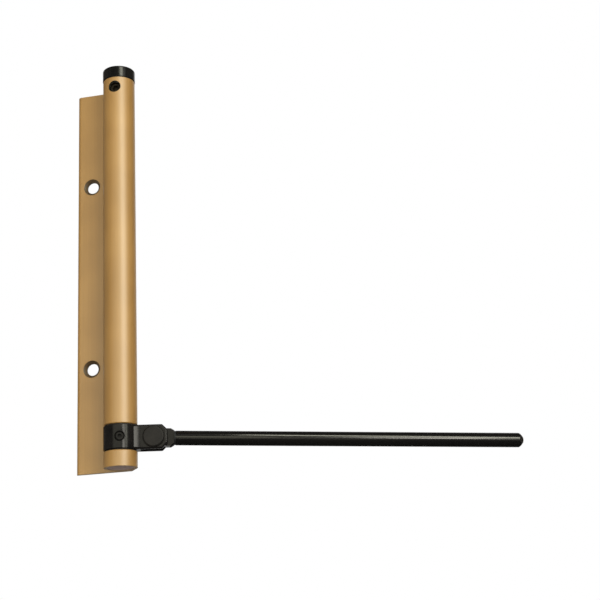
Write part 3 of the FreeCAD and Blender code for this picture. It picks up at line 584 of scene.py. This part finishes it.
# Pivot pin: low flat head with a rounded rim, grooved tail
pinShape = {
    "steps": 72,
    "profile": [
        (0, -5.86), (2.2, -5.86), (4.3, -5.86), (4.5, -5.85), (4.68, -5.78), (4.86, -5.64), (5.0, -5.47),
        (5.08, -5.3), (5.1, -5.15), (5.1, -4.7), (5.04, -4.59), (4.94, -4.56), (2.0, -4.56), (2.0, 4.53),
        (1.6, 4.53), (1.6, 4.99), (2.0, 4.99), (2.0, 5.8), (1.6, 6.2), (0, 6.2),
    ],
}
pinTurned = turnedPiece("pinTurned", pinShape["profile"], pinPlace, oxideBlack, pinShape["steps"])
dress(pinTurned, "hub", "black_oxide", "pivot_pin")
print("turned pieces made")


def newShapeTree(name, inputs):
    tree = bpy.data.node_groups.new(name, "GeometryNodeTree")
    for label, kind in inputs:
        tree.interface.new_socket(label, in_out="INPUT", socket_type=kind)
    tree.interface.new_socket("Geometry", in_out="OUTPUT", socket_type="NodeSocketGeometry")
    return tree, addNode(tree, "NodeGroupInput").outputs


def runShapeTree(name, tree, values, material):
    piece = linkMesh(name, bpy.data.meshes.new(name), material)
    modifier = piece.modifiers.new("shape", "NODES")
    modifier.node_group = tree
    for item in tree.interface.items_tree:
        if item.in_out == "INPUT":
            modifier[item.identifier] = values[item.name]
    bakeModifiers(piece)
    return piece


# Torsion spring: rounded rectangular wire on a helix, with a straight tang at each end
springShape = {
    "meanRadius": 4.9,
    "wireWide": 2.0,
    "wireTall": 2.4,
    "corner": 0.35,
    "turns": 42,
    "tang": 9.0,
    "tangOverlap": 1.2,
    "turnSteps": 40,
    "cornerSteps": 2,
    "sharpFrom": 40,
}


def makeCoilTree():
    tree, given = newShapeTree("coilOfWire", [
        ("Radius", "NodeSocketFloat"), ("Height", "NodeSocketFloat"), ("Turns", "NodeSocketFloat"),
        ("Wire Wide", "NodeSocketFloat"), ("Wire Tall", "NodeSocketFloat"), ("Corner", "NodeSocketFloat"),
        ("Tang", "NodeSocketFloat"), ("Overlap", "NodeSocketFloat"), ("Material", "NodeSocketMaterial"),
    ])
    coil = addNode(tree, "GeometryNodeCurveSpiral", **{
        "Resolution": springShape["turnSteps"], "Rotations": given["Turns"], "Start Radius": given["Radius"],
        "End Radius": given["Radius"], "Height": given["Height"],
    })
    under = addNode(tree, "ShaderNodeMath", {"operation": "SUBTRACT"}, i0=given["Overlap"], i1=given["Tang"])
    above = addNode(tree, "ShaderNodeMath", {"operation": "SUBTRACT"}, i0=given["Height"], i1=under.outputs[0])
    inside = addNode(tree, "ShaderNodeMath", {"operation": "SUBTRACT"}, i0=given["Height"], i1=given["Overlap"])
    lowFrom = addNode(tree, "ShaderNodeCombineXYZ", X=given["Radius"], Z=given["Overlap"])
    lowTo = addNode(tree, "ShaderNodeCombineXYZ", X=given["Radius"], Z=under.outputs[0])
    highFrom = addNode(tree, "ShaderNodeCombineXYZ", X=given["Radius"], Z=inside.outputs[0])
    highTo = addNode(tree, "ShaderNodeCombineXYZ", X=given["Radius"], Z=above.outputs[0])
    lowTang = addNode(tree, "GeometryNodeCurvePrimitiveLine", Start=lowFrom.outputs[0], End=lowTo.outputs[0])
    highTang = addNode(tree, "GeometryNodeCurvePrimitiveLine", Start=highFrom.outputs[0], End=highTo.outputs[0])
    path = addNode(
        tree, "GeometryNodeJoinGeometry",
        Geometry=[coil.outputs["Curve"], lowTang.outputs["Curve"], highTang.outputs["Curve"]],
    )
    level = addNode(tree, "GeometryNodeSetCurveNormal", {"mode": "Z_UP"}, Curve=path.outputs[0])
    section = addNode(
        tree, "GeometryNodeCurvePrimitiveQuadrilateral", Width=given["Wire Wide"], Height=given["Wire Tall"],
    )
    rounded = addNode(
        tree, "GeometryNodeFilletCurve", {"mode": "POLY"},
        Curve=section.outputs[0], Count=springShape["cornerSteps"], Radius=given["Corner"],
    )
    wire = addNode(tree, "GeometryNodeCurveToMesh", **{
        "Curve": level.outputs[0], "Profile Curve": rounded.outputs[0], "Fill Caps": True,
    })
    real = addNode(tree, "GeometryNodeRealizeInstances", Geometry=wire.outputs[0])
    coated = addNode(tree, "GeometryNodeSetMaterial", Geometry=real.outputs[0], Material=given["Material"])
    addNode(tree, "NodeGroupOutput", Geometry=coated.outputs[0])
    return tree


springLow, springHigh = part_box("torsion_spring")
tangOut = (springShape["tang"] - springShape["tangOverlap"]) * mm
coilHeight = springHigh.z - springLow.z - 2 * tangOut
springCoil = runShapeTree("springCoil", makeCoilTree(), {
    "Radius": springShape["meanRadius"] * mm, "Height": coilHeight, "Turns": float(springShape["turns"]),
    "Wire Wide": springShape["wireWide"] * mm, "Wire Tall": springShape["wireTall"] * mm,
    "Corner": springShape["corner"] * mm, "Tang": springShape["tang"] * mm,
    "Overlap": springShape["tangOverlap"] * mm, "Material": springSteel,
}, springSteel)
springFoot = Vector((tubeAxis.x, tubeAxis.y, springLow.z + tangOut))
springCoil.data.transform(Matrix.Translation(springFoot) @ Matrix.Rotation(hubTurn, 4, "Z"))
smoothFaces(springCoil, springShape["sharpFrom"])
# the wire winds between its ends: the top turn stays with the housing, the foot turn goes round with the hub
turnHeight = coilHeight / springShape["turns"]
windTop = springFoot + Vector((0, 0, coilHeight - turnHeight))
windFoot = springFoot + Vector((0, 0, turnHeight))
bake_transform(springCoil, "housing", "hub", start=windTop, end=windFoot)
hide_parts("torsion_spring")

# Socket set screws: one locks the adjuster, one ties the hub to its spindle
lockScrewShape = {
    "radius": 2.9, "length": 4.6, "centre": 3.18, "turn": lockHole["turn"],
    "pitch": 1.0, "depth": 0.5, "bevel": 0.5,
    "keyFlats": 3.0, "keyDepth": 2.0,
}
hubScrewShape = {
    "radius": 2.4, "length": 4.39, "centre": 5.655, "turn": hubAngle,
    "pitch": 0.8, "depth": 0.4, "bevel": 0.75,
    "keyFlats": 2.0, "keyDepth": 1.6,
}
screwSteps = {"round": 60, "along": 64, "key": 6}


def makeScrewTree():
    tree, given = newShapeTree("socketSetScrew", [
        ("Radius", "NodeSocketFloat"), ("Length", "NodeSocketFloat"), ("Pitch", "NodeSocketFloat"),
        ("Depth", "NodeSocketFloat"), ("Bevel", "NodeSocketFloat"), ("Key Radius", "NodeSocketFloat"),
        ("Key Depth", "NodeSocketFloat"), ("Material", "NodeSocketMaterial"),
    ])
    blank = addNode(tree, "GeometryNodeMeshCylinder", **{
        "Vertices": screwSteps["round"], "Side Segments": screwSteps["along"],
        "Radius": given["Radius"], "Depth": given["Length"],
    })
    # the thread: a groove that deepens and rises again once in each pitch, and ends in a bevel
    place = addNode(tree, "GeometryNodeInputPosition")
    parts = addNode(tree, "ShaderNodeSeparateXYZ", Vector=place.outputs[0])
    angle = addNode(
        tree, "ShaderNodeMath", {"operation": "ARCTAN2"},
        i0=parts.outputs["Y"], i1=parts.outputs["X"],
    )
    turns = addNode(tree, "ShaderNodeMath", {"operation": "DIVIDE"}, i0=angle.outputs[0], i1=2 * math.pi)
    rows = addNode(tree, "ShaderNodeMath", {"operation": "DIVIDE"}, i0=parts.outputs["Z"], i1=given["Pitch"])
    phase = addNode(tree, "ShaderNodeMath", {"operation": "SUBTRACT"}, i0=rows.outputs[0], i1=turns.outputs[0])
    tooth = addNode(tree, "ShaderNodeMath", {"operation": "PINGPONG"}, i0=phase.outputs[0], i1=0.5)
    root = addNode(tree, "ShaderNodeMath", {"operation": "MULTIPLY"}, i0=tooth.outputs[0], i1=2.0)
    cut = addNode(tree, "ShaderNodeMath", {"operation": "MULTIPLY"}, i0=root.outputs[0], i1=given["Depth"])
    height = addNode(tree, "ShaderNodeMath", {"operation": "ABSOLUTE"}, i0=parts.outputs["Z"])
    half = addNode(tree, "ShaderNodeMath", {"operation": "MULTIPLY"}, i0=given["Length"], i1=0.5)
    room = addNode(tree, "ShaderNodeMath", {"operation": "SUBTRACT"}, i0=half.outputs[0], i1=height.outputs[0])
    nose = addNode(tree, "ShaderNodeMath", {"operation": "SUBTRACT"}, i0=given["Bevel"], i1=room.outputs[0])
    inward = addNode(tree, "ShaderNodeMath", {"operation": "MAXIMUM"}, i0=cut.outputs[0], i1=nose.outputs[0])
    share = addNode(tree, "ShaderNodeMath", {"operation": "DIVIDE"}, i0=inward.outputs[0], i1=given["Radius"])
    keep = addNode(tree, "ShaderNodeMath", {"operation": "SUBTRACT"}, i0=1.0, i1=share.outputs[0])
    stretch = addNode(tree, "ShaderNodeCombineXYZ", X=keep.outputs[0], Y=keep.outputs[0], Z=1.0)
    moved = addNode(
        tree, "ShaderNodeVectorMath", {"operation": "MULTIPLY"}, i0=place.outputs[0], i1=stretch.outputs[0],
    )
    threaded = addNode(
        tree, "GeometryNodeSetPosition", Geometry=blank.outputs["Mesh"], Position=moved.outputs[0],
    )
    # the hex socket is cut by a key twice its depth, set on the outer face
    keyLength = addNode(tree, "ShaderNodeMath", {"operation": "MULTIPLY"}, i0=given["Key Depth"], i1=2.0)
    key = addNode(tree, "GeometryNodeMeshCylinder", **{
        "Vertices": screwSteps["key"], "Radius": given["Key Radius"], "Depth": keyLength.outputs[0],
    })
    keyPlace = addNode(tree, "ShaderNodeCombineXYZ", Z=half.outputs[0])
    keyed = addNode(
        tree, "GeometryNodeTransform", Geometry=key.outputs["Mesh"], Translation=keyPlace.outputs[0],
    )
    socket = addNode(tree, "GeometryNodeMeshBoolean", {"operation": "DIFFERENCE", "solver": "EXACT"}, **{
        "Mesh 1": threaded.outputs[0], "Mesh 2": [keyed.outputs[0]],
    })
    real = addNode(tree, "GeometryNodeRealizeInstances", Geometry=socket.outputs[0])
    coated = addNode(tree, "GeometryNodeSetMaterial", Geometry=real.outputs[0], Material=given["Material"])
    addNode(tree, "NodeGroupOutput", Geometry=coated.outputs[0])
    return tree


screwTree = makeScrewTree()


def setScrew(name, shape, height, material):
    piece = runShapeTree(name, screwTree, {
        "Radius": shape["radius"] * mm, "Length": shape["length"] * mm, "Pitch": shape["pitch"] * mm,
        "Depth": shape["depth"] * mm, "Bevel": shape["bevel"] * mm,
        "Key Radius": shape["keyFlats"] / math.sqrt(3) * mm, "Key Depth": shape["keyDepth"] * mm,
        "Material": material,
    }, material)
    turn = math.radians(shape["turn"])
    outward = Vector((math.sin(turn), -math.cos(turn), 0))
    centre = Vector((tubeAxis.x, tubeAxis.y, height)) + outward * shape["centre"] * mm
    piece.data.transform(Matrix.Translation(centre) @ outward.to_track_quat("Z", "Y").to_matrix().to_4x4())
    smoothFaces(piece)
    return piece


# its dull brown coat is painted shade for the screw sitting in the hole
lockSetScrew = setScrew("lockSetScrew", lockScrewShape, lockCentre.z, shadedScrewBlack)
dress(lockSetScrew, "lock", "black_oxide", "lock_screw")
hubSetScrew = setScrew("hubSetScrew", hubScrewShape, hubMiddle, oxideBlack)
dress(hubSetScrew, "hub", "black_oxide", "hub_set_screw")
print("spring and screws made:", len(springCoil.data.polygons), "wire faces")

# CAD nodes that keep their own shape
keptNodes = {
    "bottom_plug": plugGrey,
    "lower_bush": nylonBlack,
    "upper_bush": nylonBlack,
    "thrust_washer": nylonBlack,
    "pivot_washer_front": nylonBlack,
    "pivot_washer_rear": nylonBlack,
    "spindle": groundSteel,
    "tension_adjuster": groundSteel,
    "spindle_clip": springSteel,
    "pivot_clip": springSteel,
    "rod_cross_pin": springSteel,
}
for nodeName, material in keptNodes.items():
    for slot in nodes[nodeName].material_slots:
        slot.material = material

# Stage: pale floor, soft lamps, and dull cards out of the camera's sight that the metal mirrors
stageSet = {
    "floorHeight": -0.30,
    "floorHalf": 4.0,
    "paper": "#D9D8D5",
    "ambient": 0.64,
    # a card that shades also takes part in the soft light on the object
    "cards": {
        "leftCard": {
            "azimuth": -88, "rise": 0, "distance": 1.5, "width": 3.6, "height": 2.6,
            "tone": "#78726B", "shades": False,
        },
        "rightCard": {
            "azimuth": 112, "rise": 0, "distance": 1.4, "width": 2.8, "height": 2.6,
            "tone": "#837C75", "shades": True,
        },
        "frontCard": {
            "azimuth": 0, "rise": 0, "distance": 1.6, "width": 2.6, "height": 2.6,
            "tone": "#2E2B29", "shades": False,
        },
        "underCard": {
            "azimuth": 0, "rise": -90, "distance": 0.29, "width": 1.6, "height": 1.6,
            "tone": "#1A1918", "shades": False,
        },
        "overCard": {
            "azimuth": 0, "rise": 90, "distance": 0.9, "width": 2.4, "height": 2.0,
            "tone": "#2E2B29", "shades": False,
        },
    },
    "lamps": {
        # a leaning strip draws the bright line on the tube, the cap and the rod
        "keyLamp": {
            "azimuth": 43, "rise": 27, "distance": 1.0, "size": (0.20, 1.05), "lean": 45,
            "power": 5.2, "mirrored": True, "tone": "#FCFFF6",
        },
        # carries that line down to the foot
        "lowLamp": {
            "azimuth": 40, "rise": 6, "distance": 1.0, "size": (0.26, 0.25), "lean": 0,
            "power": 2.0, "mirrored": True, "tone": "#FFFFFF",
        },
        # a wide band that the flange and the tube's left half mirror
        "bandLamp": {
            "azimuth": -3, "rise": 8, "distance": 1.3, "size": (1.3, 0.56), "lean": 0,
            "power": 3.2, "mirrored": True, "tone": "#FFFFF2",
        },
        # even light from the front, not mirrored
        "fillLamp": {
            "azimuth": 9, "rise": 5, "distance": 1.3, "size": (1.2, 1.2), "lean": 0,
            "power": 5.6, "mirrored": False, "tone": "#FFFFFF",
        },
    },
}

# Paper and felt of the stage: matt, with a trace of fibre
fibreGrain = {"size": 2.5, "depth": 0.2, "bump": 0.02, "rough": 0.9}


def makePlain(name, hexText):
    material, tree = startMaterial(name)
    coords = addNode(tree, "ShaderNodeTexCoord")
    fibre = addNode(
        tree, "ShaderNodeTexNoise", Vector=coords.outputs["Object"],
        Scale=1 / (fibreGrain["size"] * mm), Detail=2.0,
    )
    bump = addNode(
        tree, "ShaderNodeBump", Height=fibre.outputs["Fac"],
        Strength=fibreGrain["bump"], Distance=fibreGrain["depth"] * mm,
    )
    shader = addNode(
        tree, "ShaderNodeBsdfPrincipled",
        **{
            "Base Color": linearColour(hexText),
            "Roughness": fibreGrain["rough"],
            "Normal": bump.outputs["Normal"],
        },
    )
    addNode(tree, "ShaderNodeOutputMaterial", Surface=shader.outputs["BSDF"])
    return material


def stageSheet(name, width, height, place, material):
    mesh = bpy.data.meshes.new(name)
    halfWide, halfTall = width / 2, height / 2
    corners = [
        (-halfWide, -halfTall, 0), (halfWide, -halfTall, 0),
        (halfWide, halfTall, 0), (-halfWide, halfTall, 0),
    ]
    mesh.from_pydata(corners, [], [(0, 1, 2, 3)])
    mesh.transform(place)
    sheet = linkMesh(name, mesh, material)
    return sheet


floorSide = 2 * stageSet["floorHalf"]
floorPlace = Matrix.Translation((0, 0, stageSet["floorHeight"]))
stageSheet("floor", floorSide, floorSide, floorPlace, makePlain("palePaper", stageSet["paper"]))


# azimuth turns from the front towards the right, rise goes up from level, both in degrees
def outwardFrom(azimuth, rise):
    turn, lift = math.radians(azimuth), math.radians(rise)
    return Vector((math.sin(turn) * math.cos(lift), -math.cos(turn) * math.cos(lift), math.sin(lift)))


for name, card in stageSet["cards"].items():
    outward = outwardFrom(card["azimuth"], card["rise"])
    turn = (-outward).to_track_quat("Z", "Y").to_matrix().to_4x4()
    place = Matrix.Translation(outward * card["distance"]) @ turn
    sheet = stageSheet(name, card["width"], card["height"], place, makePlain(name + "Felt", card["tone"]))
    sheet.visible_camera = False
    sheet.visible_shadow = False
    sheet.visible_diffuse = card["shades"]

for name, lamp in stageSet["lamps"].items():
    light = bpy.data.lights.new(name, "AREA")
    light.shape = "RECTANGLE"
    light.size, light.size_y = lamp["size"]
    light.energy = lamp["power"]
    light.color = linearColour(lamp["tone"])[:3]
    holder = bpy.data.objects.new(name, light)
    scene.collection.objects.link(holder)
    outward = outwardFrom(lamp["azimuth"], lamp["rise"])
    lean = Matrix.Rotation(math.radians(lamp["lean"]), 4, "Z")
    turn = (-outward).to_track_quat("-Z", "Y").to_matrix().to_4x4()
    holder.matrix_world = Matrix.Translation(outward * lamp["distance"]) @ turn @ lean
    holder.visible_glossy = lamp["mirrored"]

# the camera and mirrored rays see plain white, and the object is lit by a softer level
world = bpy.data.worlds.new("studio")
scene.world = world
world.use_nodes = True
sky = world.node_tree
sky.nodes.clear()
paths = addNode(sky, "ShaderNodeLightPath")
seen = addNode(
    sky, "ShaderNodeMath", {"operation": "MAXIMUM"},
    i0=paths.outputs["Is Camera Ray"], i1=paths.outputs["Is Glossy Ray"],
)
seenOrThrough = addNode(
    sky, "ShaderNodeMath", {"operation": "MAXIMUM"},
    i0=seen.outputs[0], i1=paths.outputs["Is Transmission Ray"],
)
plainWhite = linearColour("#FFFFFF")
ambient = addNode(sky, "ShaderNodeBackground", Color=plainWhite, Strength=stageSet["ambient"])
white = addNode(sky, "ShaderNodeBackground", Color=plainWhite, Strength=1.0)
mixed = addNode(
    sky, "ShaderNodeMixShader",
    i0=seenOrThrough.outputs[0], i1=ambient.outputs[0], i2=white.outputs[0],
)
addNode(sky, "ShaderNodeOutputWorld", Surface=mixed.outputs[0])
scene.view_settings.view_transform = "Standard"
print("stage set")

# Camera: below the closer, a little to its right, with the photograph's slight roll
cameraView = {
    "place": (0.22037, -0.55360, -0.19257),
    "azimuth": 11.717,
    "pitch": 16.653,
    "roll": -2.781,
    "lens": 73.454,
    "sensor": 36,
    "near": 0.01,
}
azimuth = math.radians(cameraView["azimuth"])
pitch = math.radians(cameraView["pitch"])
roll = math.radians(cameraView["roll"])
ahead = Vector((-math.sin(azimuth) * math.cos(pitch), math.cos(azimuth) * math.cos(pitch), math.sin(pitch)))
level = Vector((math.cos(azimuth), math.sin(azimuth), 0))
upward = level.cross(ahead)
right = level * math.cos(roll) + upward * math.sin(roll)
top = upward * math.cos(roll) - level * math.sin(roll)
lens = bpy.data.cameras.new("camera")
lens.lens = cameraView["lens"]
lens.sensor_width = cameraView["sensor"]
lens.clip_start = cameraView["near"]
camera = bpy.data.objects.new("camera", lens)
scene.collection.objects.link(camera)
turn = Matrix((right, top, -ahead)).transposed().to_4x4()
camera.matrix_world = Matrix.Translation(cameraView["place"]) @ turn
scene.camera = camera
print("camera placed")
